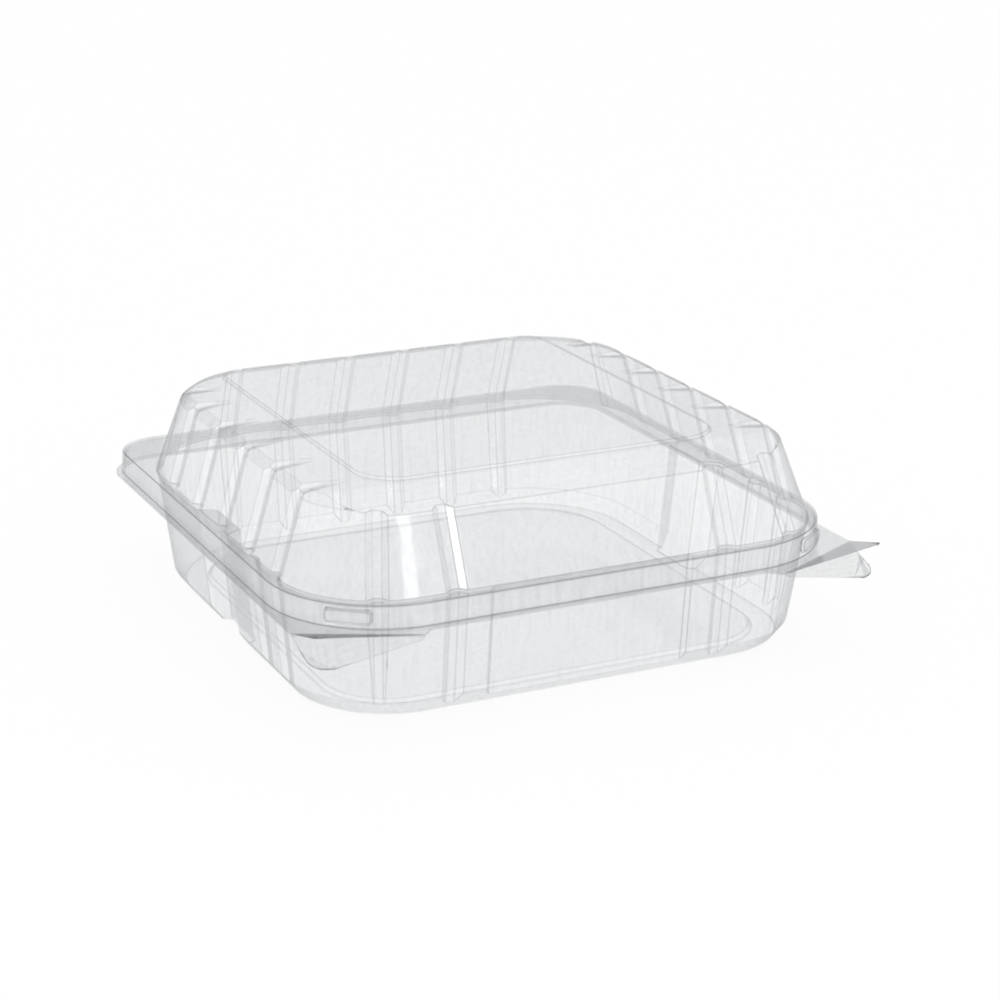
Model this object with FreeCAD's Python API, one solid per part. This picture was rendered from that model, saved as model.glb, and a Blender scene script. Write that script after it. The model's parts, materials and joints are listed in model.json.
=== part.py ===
# Clear hinged food pack, closed: a tray and a lid thermoformed from one thin clear sheet.
# The sheet is split only at the living hinge along the back edge, because the lid turns there.
# Frame: millimetres, +Z up, the pack stands on its foot ring at z = 0, centred in X and Y,
# the opening edge with its two corner tabs faces -Y and the hinge faces +Y.
import FreeCAD, Part
import os
from math import asin, atan2, cos, degrees, radians, sin, sqrt, tan

V = FreeCAD.Vector

# Sheet and fit
WALL = 0.35            # formed sheet
SEAT_GAP = 0.3         # lid to tray, where flat faces lie on each other
SKIRT_GAP = 0.4        # lid skirt round tray skirt

# Overall size
WIDTH = 226.0          # over the flanges
DEPTH = 237.5          # tab fronts to the hinge edge
HEIGHT = 79.5

# Rim
FLANGE_Z = 37.0        # underside of the tray's flange
RIM_HEIGHT = 9.0       # top of the bead above the underside of the flange
FLANGE = 3.0           # flange beyond the skirt
BEAD = 4.0             # bead between skirt and well, at the sides and the front
BEAD_BACK = 9.0        # the same at the hinge
SKIRT_DRAFT = 0.4      # how far the skirt leans out over its height
TAB_FRONT = 6.0        # tab beyond the flange at the front
FLANGE_R_FRONT = 47.0
FLANGE_R_BACK = 22.0

# Tray well
WELL_R_FRONT = 38.0    # corners of the well in plan, at the bead
WELL_R_BACK = 46.0
FOOT_R_FRONT = 35.5    # corners of the foot in plan
FOOT_R_BACK = 43.5
TRAY_INSET = 4.0       # well wall from bead to bevel
TRAY_BEVEL = 4.5       # width of the bevel between wall and bottom
BEVEL_HEIGHT = 6.0
FOOT_RING = 9.0        # width of the ring that the pack stands on
FLOOR_RISE = 1.6       # floor above the foot ring
WAIST = 38.0           # length of the set-back stretch in each side wall
WAIST_Y = 3.5
WAIST_DEPTH = 7.0
FRONT_PANEL = 82.0     # width of the set-back panel in the front wall
FRONT_PANEL_DEPTH = 2.0
FLANK = 0.6            # how far a set-back's ends lean out, for each millimetre of depth

# Lid dome
LID_INSET_SIDE = 9.5   # dome wall from ledge to shoulder
LID_INSET_FRONT = 14.0
LID_INSET_BACK = 12.0
SHOULDER_R_FRONT = 30.0    # corners of the dome in plan, at the shoulder
SHOULDER_R_BACK = 40.0
SHOULDER_DROP = 1.2    # shoulder below the top panel
SHOULDER_BEVEL = 3.0   # width and height of the bevel between wall and shoulder
PANEL_INSET = 33.0     # top panel from the foot of the dome, at the sides and the front
PANEL_INSET_BACK = 18.0
PANEL_R_FRONT = 17.0
PANEL_R_BACK = 10.0
PANEL_SLOPE = 1.0
FRONT_SLOPE = 14.0     # degrees, the front shoulder falls forwards
FRONT_SLOPE_START = 31.0   # back from the foot of the dome

# Flutes: grooves pressed into the walls, with a flat floor between flanks at 45 degrees
FLUTE_WIDTH = 8.0
FLUTE_DEPTH = 2.4
FLUTE_RUN_SIDE = 18.0  # how far a lid flute runs in over the shoulder before it ends
FLUTE_RUN_BACK = 5.0
LID_SIDE_FLUTES = 6
LID_SIDE_PITCH = 28.0
LID_SIDE_FIRST = -63.25
BACK_FLUTES = 6
BACK_PITCH = 25.0
FRONT_FLUTES = (54.0, 83.0)     # to either side of the middle
TRAY_SIDE_FLUTES = (-61.75, -40.75)
FLUTE_OVERRUN = 0.1    # share of a wall's height by which a groove's cutter passes its ends
FLUTE_START = 0.3      # share of its run by which a shoulder groove starts outside the wall

# Corner tabs, bent apart to be gripped
TRAY_TAB_R = 9.0
LID_TAB_R = 2.5
TAB_REACH = 40.0        # along the front edge
TAB_ANGLE = 64.0        # the tab points this far from the side towards the front
TAB_CREASE = 19.0       # crease to tip
TRAY_TAB_DROOP = 7.0
LID_TAB_RISE = 6.0

# Latch pocket pressed out of the lid's skirt at each front corner
LATCH_ANGLE = 52.0
LATCH_WIDTH = 17.0
LATCH_HEIGHT = 5.0
LATCH_DEPTH = 1.3
LATCH_R = 1.5          # corners of the pocket

# Levels worked out from the sizes above
FLANGE_TOP = FLANGE_Z + WALL
BEAD_TOP = FLANGE_Z + RIM_HEIGHT
LID_FLANGE_Z = FLANGE_TOP + SEAT_GAP
LEDGE_UNDER = BEAD_TOP + SEAT_GAP
LEDGE_TOP = LEDGE_UNDER + WALL
SHOULDER_Z = HEIGHT - SHOULDER_DROP
FLUTE_FLOOR = FLUTE_WIDTH - 2 * FLUTE_DEPTH    # between flanks at 45 degrees
TRAY_SLOPE = TRAY_INSET / (BEAD_TOP - BEVEL_HEIGHT)


class Outline:
    """A rounded rectangle seen from above, with one radius at the front and one at the back."""

    def __init__(self, half, front, back, r_front, r_back):
        self.half = half
        self.front = front
        self.back = back
        self.r_front = r_front
        self.r_back = r_back

    def inset(self, d):
        return Outline(self.half - d, self.front + d, self.back - d, self.r_front - d, self.r_back - d)

    def towards(self, other, t):
        """The outline a share t of the way to another one."""
        pairs = ((self.half, other.half), (self.front, other.front), (self.back, other.back),
                 (self.r_front, other.r_front), (self.r_back, other.r_back))
        return Outline(*[a + (b - a) * t for a, b in pairs])

    def corners(self):
        """Centre, radius and first angle of the four corner arcs, from the front left."""
        xf = self.half - self.r_front
        xb = self.half - self.r_back
        yf = self.front + self.r_front
        yb = self.back - self.r_back
        return [(-xf, yf, self.r_front, 180), (xf, yf, self.r_front, 270),
                (xb, yb, self.r_back, 0), (-xb, yb, self.r_back, 90)]

    def wire(self, z):
        arcs = []
        for x, y, r, start in self.corners():
            at = [radians(start + turn) for turn in (0, 45, 90)]
            points = [V(x + r * cos(a), y + r * sin(a), z) for a in at]
            arcs.append(points)
        edges = []
        for i, points in enumerate(arcs):
            edges.append(Part.LineSegment(arcs[i - 1][2], points[0]).toShape())
            edges.append(Part.Arc(*points).toShape())
        return Part.Wire(edges)


def between(low, z_low, high, z_high):
    """The solid between two outlines at two heights."""
    return Part.makeLoft([low.wire(z_low), high.wire(z_high)], True, True)


# Plan outlines
back_edge = DEPTH / 2
flange_line = Outline(WIDTH / 2, -DEPTH / 2 + TAB_FRONT, back_edge, FLANGE_R_FRONT, FLANGE_R_BACK)
skirt_line = flange_line.inset(FLANGE)
well_line = Outline(skirt_line.half - BEAD, skirt_line.front + BEAD, skirt_line.back - BEAD_BACK,
                    WELL_R_FRONT, WELL_R_BACK)
foot_inset = TRAY_INSET + TRAY_BEVEL
foot_line = Outline(well_line.half - foot_inset, well_line.front + foot_inset, well_line.back - foot_inset,
                    FOOT_R_FRONT, FOOT_R_BACK)
bevel_line = foot_line.inset(-TRAY_BEVEL)
shoulder_line = Outline(well_line.half - LID_INSET_SIDE, well_line.front + LID_INSET_FRONT,
                        well_line.back - LID_INSET_BACK, SHOULDER_R_FRONT, SHOULDER_R_BACK)
panel_line = Outline(well_line.half - PANEL_INSET, well_line.front + PANEL_INSET,
                     well_line.back - PANEL_INSET_BACK, PANEL_R_FRONT, PANEL_R_BACK)


def groove_bar(a, b, skin):
    """Groove cutter along a line a to b of the plane y = 0: flat floor, flanks at 45 degrees."""
    run = b - a
    along = V(run).normalize()
    out = V(0, 1, 0).cross(along)
    deep = FLUTE_DEPTH + skin
    floor = FLUTE_FLOOR / 2 + skin * (sqrt(2) - 1)
    high = FLUTE_DEPTH
    top = floor + deep + high
    corners = ((-floor, -deep), (floor, -deep), (top, high), (-top, high))
    section = [a + V(0, side, 0) + out * level for side, level in corners]
    return Part.Face(Part.makePolygon(section + section[:1])).extrude(run)


def place_on_wall(shape, x, y, angle):
    """Move a shape drawn at the origin, facing +X, to a wall point that faces the angle."""
    moved = shape.copy()
    moved.rotate(V(0, 0, 0), V(0, 0, 1), angle)
    moved.translate(V(x, y, 0))
    return moved


def round_corner(along, straight, radius):
    """How far a wall point past the straight stretch falls back, and the angle that the wall turns."""
    angle = asin(max(0.0, along - straight) / radius)
    return radius * (1 - cos(angle)), degrees(angle)


def front_spots():
    spots = []
    for x in FRONT_FLUTES:
        fall, turn = round_corner(x, well_line.half - WELL_R_FRONT, WELL_R_FRONT)
        spots.append((x, well_line.front + fall, turn - 90))
        spots.append((-x, well_line.front + fall, -90 - turn))
    return spots


def back_spots():
    first = -BACK_PITCH * (BACK_FLUTES - 1) / 2
    return [(first + i * BACK_PITCH, well_line.back, 90) for i in range(BACK_FLUTES)]


def side_spots(ys):
    spots = []
    for y in ys:
        fall, turn = round_corner(y, well_line.back - WELL_R_BACK, WELL_R_BACK)
        spots.append((well_line.half - fall, y, turn))
        spots.append((fall - well_line.half, y, 180 - turn))
    return spots


def lid_flute(skin, inset, run):
    """Groove cutter drawn at the origin: down the dome wall and in over the shoulder."""
    rise = SHOULDER_Z - LEDGE_TOP
    reach = V(inset, 0, -rise) * FLUTE_OVERRUN
    foot = V(0, 0, LEDGE_TOP) + reach
    edge = V(-inset, 0, SHOULDER_Z)
    flute = groove_bar(foot, edge - reach, skin)
    if run:
        back = V(run, 0, -FLUTE_DEPTH)
        flute = flute.fuse(groove_bar(edge + back * FLUTE_START, edge - back, skin))
    return flute


def lid_grooves(skin):
    """All the lid's groove cutters, each leaning with its wall."""
    ys = [LID_SIDE_FIRST + i * LID_SIDE_PITCH for i in range(LID_SIDE_FLUTES)]
    walls = ((side_spots(ys), LID_INSET_SIDE, FLUTE_RUN_SIDE),
             (back_spots(), LID_INSET_BACK, FLUTE_RUN_BACK),
             (front_spots(), LID_INSET_FRONT, 0))
    return [grooves(lid_flute(skin, inset, run), spots) for spots, inset, run in walls]


def tray_flute(skin):
    """Groove cutter drawn at the origin: straight down the well wall, running out at the bevel."""
    top = V(0, 0, BEAD_TOP)
    bottom = V(-TRAY_SLOPE * BEAD_TOP, 0, 0)
    reach = (top - bottom) * FLUTE_OVERRUN
    return groove_bar(bottom - reach, top + reach, skin)


def grooves(cutter, spots):
    placed = [place_on_wall(cutter, *spot) for spot in spots]
    return placed[0].multiFuse(placed[1:])


def set_back(length, depth, grow):
    """Cutter drawn at the origin that sets a stretch of the tray's wall back, parallel to it."""
    half = length / 2 + grow
    reach = FLUTE_WIDTH
    spread = depth + reach
    wires = []
    for z in (-1, BEAD_TOP + 1):
        floor = TRAY_SLOPE * (z - BEAD_TOP) - depth - grow
        points = [V(floor, -half + depth, z), V(floor + spread, -half + depth - spread * FLANK, z),
                  V(floor + spread, half - depth + spread * FLANK, z), V(floor, half - depth, z)]
        wires.append(Part.makePolygon(points + points[:1]))
    return Part.makeLoft(wires, True, True)


def well_form(skin):
    """The tray's well as a full body: skin 0 is the outside of the sheet, skin WALL the inside."""
    slant = sqrt(TRAY_BEVEL ** 2 + BEVEL_HEIGHT ** 2)
    across = BEVEL_HEIGHT / slant
    up = TRAY_BEVEL / slant
    low_in = skin * (across - (1 - up) * TRAY_BEVEL / BEVEL_HEIGHT)
    high_z = BEVEL_HEIGHT + skin * (up - (1 - across) * BEVEL_HEIGHT / TRAY_BEVEL)
    rings = [foot_line.inset(low_in).wire(skin), bevel_line.inset(skin).wire(high_z),
             well_line.inset(skin).wire(BEAD_TOP)]
    form = Part.makeLoft(rings, True, True)
    spots = side_spots(TRAY_SIDE_FLUTES) + back_spots() + front_spots()
    cutters = [grooves(tray_flute(skin), spots)]
    waist = set_back(WAIST, WAIST_DEPTH, skin)
    cutters.append(place_on_wall(waist, well_line.half, WAIST_Y, 0))
    cutters.append(place_on_wall(waist, -well_line.half, WAIST_Y, 180))
    panel = set_back(FRONT_PANEL, FRONT_PANEL_DEPTH, skin)
    cutters.append(place_on_wall(panel, 0, well_line.front, -90))
    form = form.cut(cutters)
    ring = foot_line.inset(FOOT_RING - skin)
    return form.cut(between(ring, 0, ring.inset(FLOOR_RISE), FLOOR_RISE + skin))


def front_slope(skin):
    """Cutter for the lid's front shoulder, which falls away from the top panel."""
    start = well_line.front + FRONT_SLOPE_START
    fall = FRONT_SLOPE_START * tan(radians(FRONT_SLOPE))
    points = [V(-WIDTH, start, SHOULDER_Z - skin), V(-WIDTH, well_line.front, SHOULDER_Z - skin - fall),
              V(-WIDTH, well_line.front, HEIGHT + 1), V(-WIDTH, start, HEIGHT + 1)]
    side = Part.Face(Part.makePolygon(points + points[:1]))
    return side.extrude(V(2 * WIDTH, 0, 0))


def dome_form(skin):
    """The lid's dome as a full body: skin 0 is the outside of the sheet, skin WALL the inside."""
    rise = SHOULDER_Z - LEDGE_TOP
    below = (LEDGE_TOP - LEDGE_UNDER + skin) / rise
    bevel = SHOULDER_BEVEL + skin * (sqrt(2) - 1)
    low = well_line.towards(shoulder_line, -below).inset(skin)
    edge = well_line.towards(shoulder_line, 1 - bevel / rise).inset(skin)
    top = shoulder_line.inset(bevel)
    rings = [low.wire(LEDGE_UNDER - skin), edge.wire(SHOULDER_Z - bevel), top.wire(SHOULDER_Z - skin)]
    form = Part.makeLoft(rings, True, True).cut(front_slope(skin))
    base = panel_line.inset(skin)
    panel = between(base, SHOULDER_Z - skin - WALL, base.inset(PANEL_SLOPE), HEIGHT - skin)
    return form.fuse(panel).cut(lid_grooves(skin))


def tab(z, bend, round_r, side):
    """A corner tab: the flange carried on to a square corner, creased and bent up or down to its tip."""
    x_tip = WIDTH / 2
    y_tip = -DEPTH / 2
    root_x = x_tip - TAB_REACH
    x_in = x_tip - FLANGE_R_FRONT
    y_in = flange_line.front + FLANGE_R_FRONT
    nick = round_r * (1 - sqrt(0.5))
    arc = [V(x_tip, y_tip + round_r, 0), V(x_tip - nick, y_tip + nick, 0), V(x_tip - round_r, y_tip, 0)]
    rim = [V(root_x, y_tip, 0), V(root_x - TAB_FRONT, flange_line.front, 0), V(x_in, y_in, 0),
           V(x_tip, y_in, 0)]
    edges = [Part.Arc(*arc).toShape()]
    run = [arc[2]] + rim + [arc[0]]
    for a, b in zip(run, run[1:]):
        edges.append(Part.LineSegment(a, b).toShape())
    plan = Part.Face(Part.Wire(edges)).extrude(V(0, 0, HEIGHT))

    along = V(cos(radians(TAB_ANGLE)), -sin(radians(TAB_ANGLE)), 0)
    crease = V(x_tip, y_tip, 0).dot(along) - TAB_CREASE
    mitre = WALL * tan(atan2(bend, TAB_CREASE) / 2)
    past_tip = 1.2
    far = crease + past_tip * TAB_CREASE
    end = z + past_tip * bend
    thick = WALL / cos(atan2(bend, TAB_CREASE))
    start = crease - WIDTH / 2
    section = [V(start, 0, z), V(crease, 0, z), V(far, 0, end), V(far, 0, end + thick),
               V(crease - mitre, 0, z + WALL), V(start, 0, z + WALL)]
    strip = Part.Face(Part.makePolygon(section + section[:1])).extrude(V(0, WIDTH, 0))
    strip.translate(V(0, -WIDTH / 2, 0))
    strip.rotate(V(0, 0, 0), V(0, 0, 1), -TAB_ANGLE)
    cut_tab = plan.common(strip)
    cut_tab = cut_tab.cut(between(skirt_line, 0, skirt_line, HEIGHT))
    return cut_tab.mirror(V(0, 0, 0), V(1, 0, 0)) if side < 0 else cut_tab


def rim_sheet(z_flange, z_top, skirt):
    """Flange, skirt and bead top of one half as a cap of sheet, open below."""
    plate = between(flange_line, z_flange, flange_line, z_flange + WALL)
    outer = between(skirt, z_flange, skirt.inset(SKIRT_DRAFT), z_top)
    inner = between(skirt.inset(WALL), z_flange, skirt.inset(SKIRT_DRAFT + WALL), z_top - WALL)
    return plate.fuse(outer), inner


def latch(side, grow):
    """Pocket drawn out of the lid's skirt: a rounded block that crosses the corner of the rim."""
    depth = FLANGE_R_FRONT - FLANGE + LATCH_DEPTH + grow
    high = LATCH_HEIGHT + 2 * grow
    wide = LATCH_WIDTH + 2 * grow
    z = LID_FLANGE_Z + (RIM_HEIGHT - LATCH_HEIGHT) / 2 - grow
    block = Part.makeBox(depth, wide, high, V(0, -wide / 2, z))
    sides = [e for e in block.Edges if abs(e.BoundBox.XLength - depth) < 0.01]
    block = block.makeFillet(LATCH_R + grow, sides)
    x = flange_line.half - FLANGE_R_FRONT
    y = flange_line.front + FLANGE_R_FRONT
    turn = -LATCH_ANGLE if side > 0 else LATCH_ANGLE - 180
    return place_on_wall(block, side * x, y, turn)


def make_tray():
    sheet, hollow = rim_sheet(FLANGE_Z, BEAD_TOP, skirt_line)
    tabs = [tab(FLANGE_Z, -TRAY_TAB_DROOP, TRAY_TAB_R, side) for side in (-1, 1)]
    shell = sheet.cut(hollow).fuse([well_form(0.0)] + tabs)
    cavity = well_form(WALL)
    mouth = between(well_line.inset(WALL), BEAD_TOP, well_line.inset(WALL), HEIGHT)
    return shell.cut(cavity).cut(mouth)


def make_lid():
    skirt = skirt_line.inset(-SKIRT_GAP - WALL)
    sheet, hollow = rim_sheet(LID_FLANGE_Z, LEDGE_TOP, skirt)
    tabs = [tab(LID_FLANGE_Z, LID_TAB_RISE, LID_TAB_R, side) for side in (-1, 1)]
    outer = sheet.fuse([dome_form(0.0)] + [latch(side, 0.0) for side in (-1, 1)] + tabs)
    pockets = [latch(side, -WALL) for side in (-1, 1)]
    return outer.cut([hollow, dome_form(WALL)] + pockets)


def one_solid(shape, name):
    """The finished sheet as a single solid."""
    clean = shape.removeSplitter()
    solids = sorted(clean.Solids, key=lambda s: s.Volume)
    print(name, "solids", len(solids), "valid", clean.isValid(), "volume mm3", round(clean.Volume, 1))
    return solids[-1]


os.makedirs("parts", exist_ok=True)
for name, shape in (("tray", make_tray()), ("lid", make_lid())):
    one_solid(shape, name).exportStep("parts/" + name + ".step")
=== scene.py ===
# %% [markdown]
# # A clear hinged food pack
# The pack is one sheet of clear plastic, warmed, drawn over a mould and folded along
# its back edge: a deep tray below, a fluted dome above. Its shape comes from the packed
# solids. This lesson adds what the eye meets first: softly rounded bends, a thin glossy
# sheet that lets nearly all light through, the film hinge, a pale studio and a camera.

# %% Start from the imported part
import json
import math

import bmesh
import bpy
import numpy as np
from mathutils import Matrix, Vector


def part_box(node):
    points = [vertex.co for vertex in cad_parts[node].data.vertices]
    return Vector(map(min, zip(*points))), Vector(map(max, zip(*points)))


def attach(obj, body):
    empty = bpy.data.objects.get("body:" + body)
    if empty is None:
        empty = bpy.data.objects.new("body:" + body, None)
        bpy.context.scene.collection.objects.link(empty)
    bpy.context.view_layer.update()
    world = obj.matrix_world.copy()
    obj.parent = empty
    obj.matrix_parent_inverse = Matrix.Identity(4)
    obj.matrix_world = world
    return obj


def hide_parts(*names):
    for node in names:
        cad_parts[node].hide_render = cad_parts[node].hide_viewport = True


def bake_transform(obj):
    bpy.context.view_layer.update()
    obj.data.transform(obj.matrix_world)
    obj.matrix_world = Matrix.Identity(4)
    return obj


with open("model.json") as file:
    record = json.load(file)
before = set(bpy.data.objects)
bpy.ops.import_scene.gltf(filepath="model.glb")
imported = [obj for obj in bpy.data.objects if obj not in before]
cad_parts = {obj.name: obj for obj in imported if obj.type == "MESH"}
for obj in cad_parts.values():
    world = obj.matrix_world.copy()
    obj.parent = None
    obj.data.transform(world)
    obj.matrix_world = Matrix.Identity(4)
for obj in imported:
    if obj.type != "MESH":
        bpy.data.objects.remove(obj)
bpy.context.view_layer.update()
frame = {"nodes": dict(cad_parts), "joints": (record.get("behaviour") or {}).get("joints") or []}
scene = bpy.context.scene
MM = 0.001

# %% [markdown]
# ## Shader sums as plain expressions
# A finish is a small network of nodes. Wrapping a socket in a class that knows plus,
# times and power lets a mask be written as a formula, and each sign in it adds a Math
# node. Every other kind of node comes from one method, which takes its settings first
# and then the values or links of its sockets.

# %% A socket that can be added, multiplied and raised to a power


class Signal:
    """A socket of a finish, which can stand in a formula."""

    def __init__(self, finish, socket):
        self.finish, self.socket = finish, socket

    def worked(self, operation, first, second):
        return self.finish.node("Math", {"operation": operation}, {0: first, 1: second})

    def __add__(self, other):
        return self.worked("ADD", self, other)

    def __radd__(self, other):
        return self.worked("ADD", other, self)

    def __mul__(self, other):
        return self.worked("MULTIPLY", self, other)

    def __rmul__(self, other):
        return self.worked("MULTIPLY", other, self)

    def __pow__(self, other):
        return self.worked("POWER", self, other)

    def __rpow__(self, other):
        return self.worked("POWER", other, self)

    def most(self, other):
        return self.worked("MAXIMUM", self, other)


# %% A finish and the one method that adds its nodes
class Finish:
    """The nodes of a new material, or of the world where that is given."""

    def __init__(self, name, world=None):
        self.owner = world or bpy.data.materials.new(name)
        self.owner.use_nodes = True
        self.tree = self.owner.node_tree
        self.tree.nodes.clear()

    def node(self, kind, settings=None, inputs=None, output=0):
        made = self.tree.nodes.new("ShaderNode" + kind)
        for key, value in (settings or {}).items():
            setattr(made, key, value)
        for key, value in (inputs or {}).items():
            if isinstance(value, Signal):
                self.tree.links.new(value.socket, made.inputs[key])
            else:
                made.inputs[key].default_value = value
        return Signal(self, made.outputs[output])

    def noise(self, where, scale, detail, roughness):
        return self.node("TexNoise", None, {
            "Vector": where, "Scale": scale, "Detail": detail, "Roughness": roughness})

    def ramp(self, value, low, high):
        """0 up to the low value, 1 from the high one on, and a straight line between."""
        return self.node("MapRange", {"clamp": True}, {
            "Value": value, "From Min": low, "From Max": high, "To Min": 0.0, "To Max": 1.0})

    def blend(self, share, first, second):
        return self.node("MixShader", None, {0: share, 1: first, 2: second})

    def show(self, shader, kind="OutputMaterial"):
        target = self.tree.nodes.new("ShaderNode" + kind)
        self.tree.links.new(shader.socket, target.inputs["Surface"])


print("shader helpers ready")

# %% [markdown]
# ## The clear sheet
# Polystyrene sheet is nearly invisible face on and turns darker where it is seen along
# its surface or where it bends, because there the light path in the sheet is longer and
# is thrown aside. Refraction is left out: a wall of a third of a millimetre hardly shifts
# what is behind it. So that darkness is painted shade: the sheet is a clear film mixed
# towards a darker one at grazing angles and on the bends, a gloss that grows the same
# way, and a trace of haze from drawing marks and fine scuffs.

# %% Waves, drawing marks and scuffs in the sheet
DRAWN_OUT = (1, 1, 0.06)    # the mould draws marks out along the height of a wall
sheet = Finish("clear_sheet")
place = sheet.node("TexCoord", output=3)
drawn_place = sheet.node("Mapping", None, {"Vector": place, "Scale": DRAWN_OUT})
waves = sheet.noise(place, 42.0, 2.0, 0.45)
drawn = sheet.noise(drawn_place, 520.0, 3.0, 0.55)
specks = sheet.noise(place, 1400.0, 2.0, 0.6)

# %% [markdown]
# Three shares follow from the viewing angle and from two values that the mesh carries:
# "bend" is 1 in the middle of a sharp bend, and "slant" marks the bevels of the moulds
# and the bent tabs, which throw light aside as soon as they are seen at an angle. Both
# values feed only the painted shade, which also carries the sheet's real drawing marks.

# %% Shares of reflection, haze and painted shade
PLAIN_REFLECTION = 0.045
GRAZING_REFLECTION = 0.4
PLAIN_HAZE = 0.010
MARK_HAZE = 0.03
SPECK_HAZE = 0.03
GRAZING_PAINTED_SHADE = 0.4
BEND_PAINTED_SHADE = 0.45
SLANT_PAINTED_SHADE = 1.5
MARK_SHADE = 0.04
WAVE_SHADE = 0.01
facing = sheet.node("LayerWeight", None, {"Blend": 0.5}, output=1)
bend = sheet.node("Attribute", {"attribute_name": "bend"}, output=2)
slant = sheet.node("Attribute", {"attribute_name": "slant"}, output=2)
reflection = PLAIN_REFLECTION + GRAZING_REFLECTION * facing ** 5
haze = (PLAIN_HAZE + MARK_HAZE * sheet.ramp(drawn, 0.5, 0.75)
        + SPECK_HAZE * sheet.ramp(specks, 0.66, 0.8))
# Painted shade: darker towards grazing angles, on the bends and on the slants; the drawing marks
# and the waves in it are the sheet's own tone.
painted_shade_and_marks = (GRAZING_PAINTED_SHADE * facing ** 4 + BEND_PAINTED_SHADE * bend + SLANT_PAINTED_SHADE * slant * facing ** 3
         + MARK_SHADE * sheet.ramp(drawn, 0.45, 0.75) + WAVE_SHADE * waves)

# %% Film with painted shade, haze and gloss on top of each other
WAVE_DEPTH = 0.6 * MM
surface = sheet.node("Bump", None, {"Strength": 0.5, "Distance": WAVE_DEPTH, "Height": waves})
clear = sheet.node("BsdfTransparent", None, {"Color": (0.979, 0.981, 0.983, 1)})
# the darker film that the painted shade and the drawing marks mix in
dark = sheet.node("BsdfTransparent", None, {"Color": (0.38, 0.39, 0.405, 1)})
cloud = sheet.node("BsdfPrincipled", None, {
    "Base Color": (0.93, 0.94, 0.95, 1), "Roughness": 0.35, "Normal": surface})
gloss = sheet.node("BsdfGlossy", None, {
    "Color": (1, 1, 1, 1), "Roughness": 0.06 + 0.08 * waves, "Normal": surface})
film = sheet.blend(painted_shade_and_marks, clear, dark)
sheet.show(sheet.blend(reflection, sheet.blend(haze, film, cloud), gloss))
print("clear sheet:", len(sheet.tree.nodes), "nodes")

# %% [markdown]
# ## Bends instead of knife edges
# A drawn sheet never has a sharp edge: every crease of the mould comes out as a bend of
# about half a millimetre. The solids keep their creases sharp, so a copy of each one is
# merged and its flat triangles are joined into whole faces. Each crease is then cut into
# short lengths, and each length gets the share of the bend that fits between it and the
# crease across its face, so a flute's bends taper away together with the flute.

# %% Measure the room beside each crease
BEND = 0.55 * MM            # how far a bend reaches from its crease
STEP = 2.5 * MM             # length of the pieces that a crease is cut into
CREASE = math.radians(15)   # an edge that is flatter gets no bend
NEAR = 0.01 * MM            # a crease that is nearer is the same one
OPEN = 1.0                  # metres of room where no crease lies opposite


def creases_of(mesh):
    return [edge for edge in mesh.edges if edge.calc_face_angle(0) > CREASE]


def room_beside(face, creases):
    """Straight across the face from the middle of each crease to the crease opposite."""
    sides = [loop for loop in face.loops if loop.edge in creases]
    a = np.array([loop.vert.co for loop in sides])
    b = np.array([loop.link_loop_next.vert.co for loop in sides])
    along = (b - a) / np.linalg.norm(b - a, axis=1)[:, None]
    across = np.cross(np.array(face.normal), along)
    middle = ((a + b) / 2)[:, None]
    along_a, along_b = [np.einsum("ijk,ik->ij", end[None] - middle, along) for end in (a, b)]
    across_a, across_b = [np.einsum("ijk,ik->ij", end[None] - middle, across) for end in (a, b)]
    span = np.where(along_a == along_b, OPEN, along_a - along_b)
    width = across_a + (across_b - across_a) * along_a / span
    opposite = (along_a * along_b <= 0) & (width > NEAR)
    return zip([loop.edge for loop in sides], np.where(opposite, width, OPEN).min(axis=1))


# %% Give each length of crease its share of the bend
MERGE = 0.002 * MM
FLAT = math.radians(1)
TWO_BENDS = 2.2             # room for a full bend at both sides and a little flat between


def cut_creases(mesh):
    for edge in creases_of(mesh):
        corner = edge.verts[0]
        for left in range(int(edge.calc_length() / STEP), 0, -1):
            corner = bmesh.utils.edge_split(edge, corner, 1 / (left + 1))[1]


def share_bends(mesh, name):
    share = mesh.edges.layers.float.new("bevel_weight_edge")
    creases = set(creases_of(mesh))
    for edge in creases:
        edge[share] = 1.0
    for face in mesh.faces:
        if any(edge in creases for edge in face.edges):
            for edge, room in room_beside(face, creases):
                edge[share] = min(edge[share], room / (TWO_BENDS * BEND))
    print(name, "faces", len(mesh.faces), "creases", len(creases),
          "with the full bend", sum(edge[share] == 1.0 for edge in creases))


def formed(node, name):
    """A merged copy of a solid, with the shares of its bends."""
    piece = bpy.data.objects.new(name, frame["nodes"][node].data.copy())
    scene.collection.objects.link(piece)
    mesh = bmesh.new()
    mesh.from_mesh(piece.data)
    bmesh.ops.remove_doubles(mesh, verts=mesh.verts, dist=MERGE)
    bmesh.ops.dissolve_limit(mesh, angle_limit=FLAT, verts=mesh.verts,
                             edges=mesh.edges, use_dissolve_boundaries=False)
    cut_creases(mesh)
    share_bends(mesh, name)
    mesh.to_mesh(piece.data)
    mesh.free()
    return piece


# %% [markdown]
# The Bevel modifier makes the bends, two rows of faces each, and its result becomes the
# mesh. The faces of the bends are told apart by a second material slot, which goes again
# once their middle rows carry the value "bend". A tab's sharp corner throws its bend out
# a little way, so whatever leaves the solid's own box is brought back to it.

# %% Round the creases
def rounded(piece):
    piece.data.materials.clear()
    piece.data.materials.append(sheet.owner)
    piece.data.materials.append(None)
    rounding = piece.modifiers.new("bends", "BEVEL")
    rounding.limit_method = "WEIGHT"
    rounding.width = BEND
    rounding.segments = 2
    rounding.use_clamp_overlap = False
    rounding.material = 1
    shown = piece.evaluated_get(bpy.context.evaluated_depsgraph_get())
    piece.data = bpy.data.meshes.new_from_object(shown)
    piece.modifiers.clear()
    return piece


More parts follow.
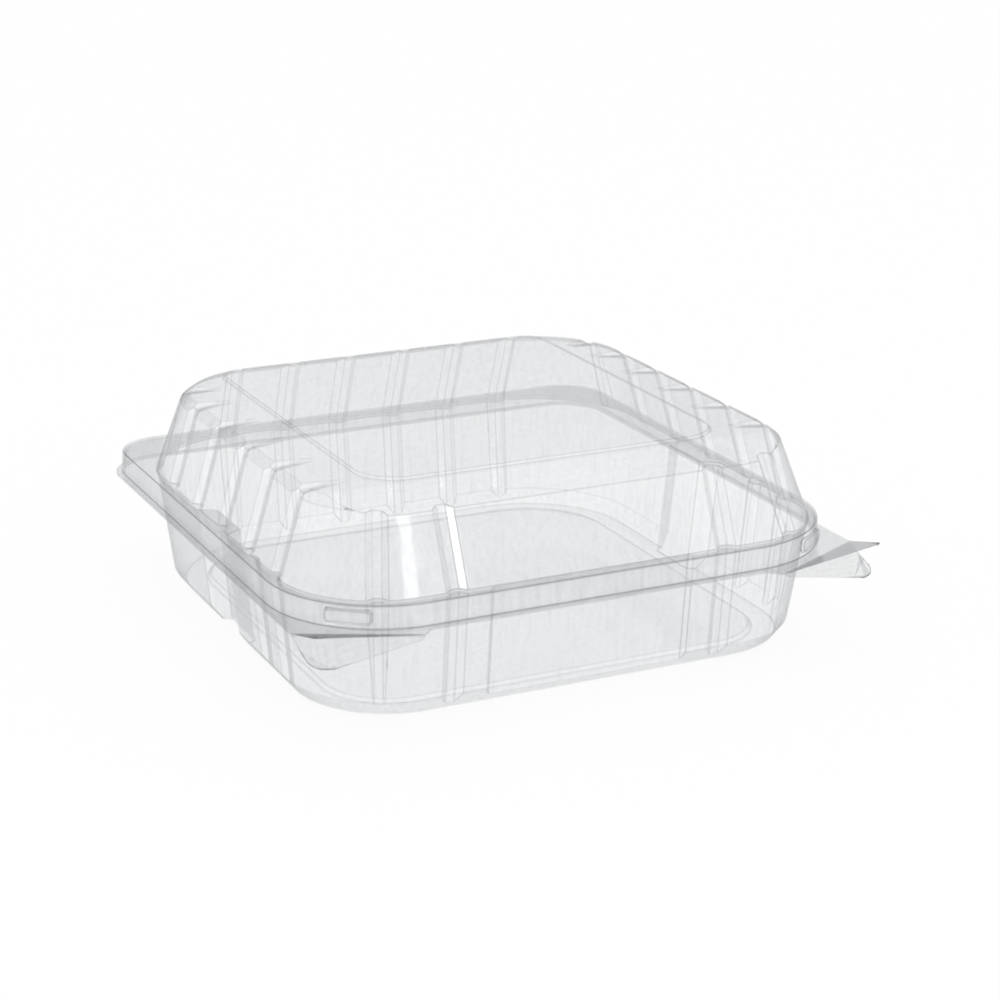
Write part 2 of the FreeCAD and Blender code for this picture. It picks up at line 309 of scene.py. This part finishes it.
def kept_inside(mesh, low, high):
    """Bring each corner back to the box, and give the farthest way that one moved."""
    farthest = 0.0
    for vert in mesh.verts:
        inside = Vector([min(max(v, a), b) for v, a, b in zip(vert.co, low, high)])
        farthest = max(farthest, (vert.co - inside).length)
        vert.co = inside
    return farthest


# %% Say where the sheet bends and where it slants, which sets its painted shade
SHARP = math.radians(45)    # a bend whose middle row leans this far is dark in full
FALL_OFF = 1.2              # a flatter bend is paler by this power of its lean
BEVEL_UP = (0.45, 0.9)      # upward share of the normal of the moulds' bevels
TAB_ANGLE = math.radians(64)        # the tabs point this far from the sides to the front
TAB_WAY = Vector((math.cos(TAB_ANGLE), math.sin(TAB_ANGLE)))
TAB_START = 137.4 * MM      # a tab's crease, that way from the middle of the pack
# slant on the tabs, and with it their painted shade
TAB_SLANT = 0.4


def mark(mesh, slanted):
    bends = mesh.verts.layers.float.new("bend")
    slants = mesh.verts.layers.float.new("slant")
    for vert in mesh.verts:
        walls = [face for face in vert.link_faces if face.material_index == 0]
        if not walls:
            ways = [face.normal for face in vert.link_faces]
            lean = max(a.angle(b, 0) for a in ways for b in ways)
            vert[bends] = min(1.0, (lean / SHARP) ** FALL_OFF)
        elif all(BEVEL_UP[0] < abs(face.normal.z) < BEVEL_UP[1] for face in walls):
            vert[slants] = slanted
        if TAB_WAY.dot((abs(vert.co.x), -vert.co.y)) > TAB_START:
            vert[slants] = TAB_SLANT


# %% Dress the tray and the lid
def dress(node, name, slanted):
    piece = rounded(formed(node, name))
    mesh = bmesh.new()
    mesh.from_mesh(piece.data)
    moved = kept_inside(mesh, *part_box(node))
    mark(mesh, slanted)
    for face in mesh.faces:
        face.smooth = True
        face.material_index = 0
    mesh.to_mesh(piece.data)
    mesh.free()
    piece.data.materials.pop()
    piece.modifiers.new("even shading", "WEIGHTED_NORMAL").keep_sharp = True
    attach(piece, node)
    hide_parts(node)
    print(name, "now", len(piece.data.polygons), "faces, corners brought back by",
          round(moved / MM, 2), "mm")


# slanted: the share of painted shade on the bevels of the moulds
dress("tray", "tray_sheet", slanted=0.1)
dress("lid", "lid_sheet", slanted=0.3)

# %% [markdown]
# ## The film hinge
# Tray and lid are one sheet, folded over along the straight part of the back edge. The
# solids leave a slit there, so that the lid can turn. A narrow strip, spun half round
# along the fold, closes it.

# %% Spin the fold
FOLD_RADIUS = 0.15 * MM
FOLD_HALF_WIDTH = 91 * MM
FOLD_STEPS = 8
fold_height = frame["joints"][0]["pos_m"][2]
back_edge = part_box("tray")[1].y
centre = Vector((0, back_edge - FOLD_RADIUS, fold_height))
fold = bmesh.new()
ends = [fold.verts.new((x, centre.y, centre.z - FOLD_RADIUS))
        for x in (-FOLD_HALF_WIDTH, FOLD_HALF_WIDTH)]
line = fold.edges.new(ends)
bmesh.ops.spin(fold, geom=[line, *ends], cent=centre, axis=(1, 0, 0), angle=math.pi,
               steps=FOLD_STEPS, use_merge=False)
bmesh.ops.recalc_face_normals(fold, faces=fold.faces)
for face in fold.faces:
    face.smooth = True
print("fold at height", round(fold_height, 5), "back edge at", round(back_edge, 5))

# %% Make it an object with the clear sheet's finish
fold_mesh = bpy.data.meshes.new("film_hinge")
fold.to_mesh(fold_mesh)
fold.free()
film_hinge = bpy.data.objects.new("film_hinge", fold_mesh)
scene.collection.objects.link(film_hinge)
film_hinge.data.materials.append(sheet.owner)
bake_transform(film_hinge)
print("film hinge", len(fold_mesh.polygons), "faces")

# %% [markdown]
# ## The studio
# Clear plastic shows what lies behind it, so the room is white all round and the floor
# is white where the eye, a mirror image or a clear sheet meets it. A small share of the
# floor stays plain paint, and that share keeps the pack's soft shadow.

# %% Background and floor
WHITE = (1, 1, 1, 1)
FLOOR_PAINT = (0.97, 0.97, 0.97, 1)
FLOOR_SIZE = 8
PURE_WHITE = 0.85           # share of the floor that is seen as white
room = Finish("room", scene.world or bpy.data.worlds.new("room"))
scene.world = room.owner
room.show(room.node("Background", None, {"Color": WHITE, "Strength": 1.0}), "OutputWorld")


def seen(finish):
    """1 for the camera, for a mirror image and through a clear body, and otherwise 0."""
    outputs = finish.node("LightPath").socket.node.outputs
    ray = {output.name: Signal(finish, output) for output in outputs}
    return ray["Is Camera Ray"].most(ray["Is Glossy Ray"]).most(ray["Is Transmission Ray"])


bpy.ops.mesh.primitive_plane_add(size=FLOOR_SIZE, location=(0, 0, 0))
floor = bpy.context.object
floor.name = "floor"
ground = Finish("ground")
paint = ground.node("BsdfDiffuse", None, {"Color": FLOOR_PAINT})
glow = ground.node("Emission", None, {"Color": WHITE, "Strength": 1.0})
ground.show(ground.blend(PURE_WHITE * seen(ground), paint, glow))
floor.data.materials.append(ground.owner)
print("floor", FLOOR_SIZE, "m wide")

# %% [markdown]
# Two small soft lamps do what the white room can't: one high in front leaves the bright
# streaks on the lid's front corner, and one low at the left lights the flutes' flanks.

# %% Lamps
LIT = Vector((0, -0.1, 0.06))       # both lamps point at the front of the pack


def softbox(name, place, size, power):
    lamp = bpy.data.lights.new(name, "AREA")
    lamp.shape = "RECTANGLE"
    lamp.size, lamp.size_y = size
    lamp.energy = power
    box = bpy.data.objects.new(name, lamp)
    scene.collection.objects.link(box)
    box.location = place
    box.rotation_euler = (LIT - Vector(place)).to_track_quat("-Z", "Y").to_euler()
    print(name, size, "m,", power, "W")


softbox("front_box", (0.29, -1.37, 0.78), (0.36, 0.56), 1.6)
softbox("left_box", (-1.40, -0.60, 0.33), (0.28, 0.16), 0.9)

# %% [markdown]
# ## The camera
# Its place and direction come from fitting the outlines of the rim, the lid and the
# foot: 18 degrees down, 25 degrees round from the front, with a lens of 89 mm. A ray
# crosses many clear walls in a row, so it may pass a good number of them.

# %% Camera
LENS = 89.1
SENSOR = 36
SHIFT = (0.0366, -0.0037)
CAMERA_PLACE = (-0.3917, -0.83615, 0.3491)
CAMERA_WAY = Vector((0.40029, 0.86037, -0.31548))
view = bpy.data.cameras.new("photo_view")
view.lens = LENS
view.sensor_width = SENSOR
view.shift_x, view.shift_y = SHIFT
camera = bpy.data.objects.new("photo_view", view)
scene.collection.objects.link(camera)
camera.location = CAMERA_PLACE
camera.rotation_euler = CAMERA_WAY.to_track_quat("-Z", "Y").to_euler()
scene.camera = camera
scene.view_settings.view_transform = "Standard"
scene.cycles.transparent_max_bounces = 48
scene.cycles.max_bounces = 4
print("camera at", CAMERA_PLACE)
